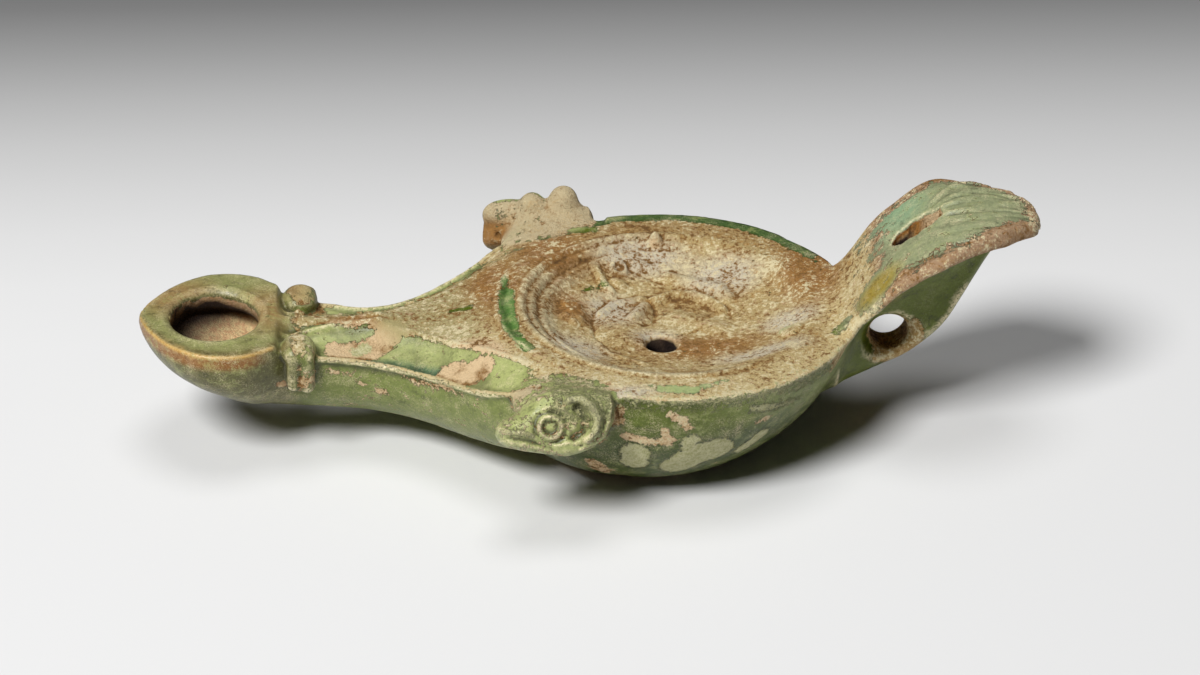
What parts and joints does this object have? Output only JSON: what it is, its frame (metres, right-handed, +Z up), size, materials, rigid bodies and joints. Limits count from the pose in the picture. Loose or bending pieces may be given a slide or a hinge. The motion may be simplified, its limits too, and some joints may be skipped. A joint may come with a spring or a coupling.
{
  "type": "roman oil lamp",
  "caption": "Roman volute oil lamp in green-glazed terracotta, with a long nozzle, two animal-head lugs and a leaf-shaped shield over a ring handle.",
  "frame": {"origin": "middle of the flat foot's underside", "axes": "+X towards the handle and -X towards the nozzle, +Z up, -Y and +Y towards the two animal heads"},
  "size_m": [0.2007, 0.1024, 0.0545],
  "materials": {
    "glazed_terracotta": "worn satin lead glaze, with matt brown crust and bare buff clay where it is lost"
  },
  "bodies": {
    "root": {"lamp": "glazed_terracotta"}
  },
  "joints": []
}
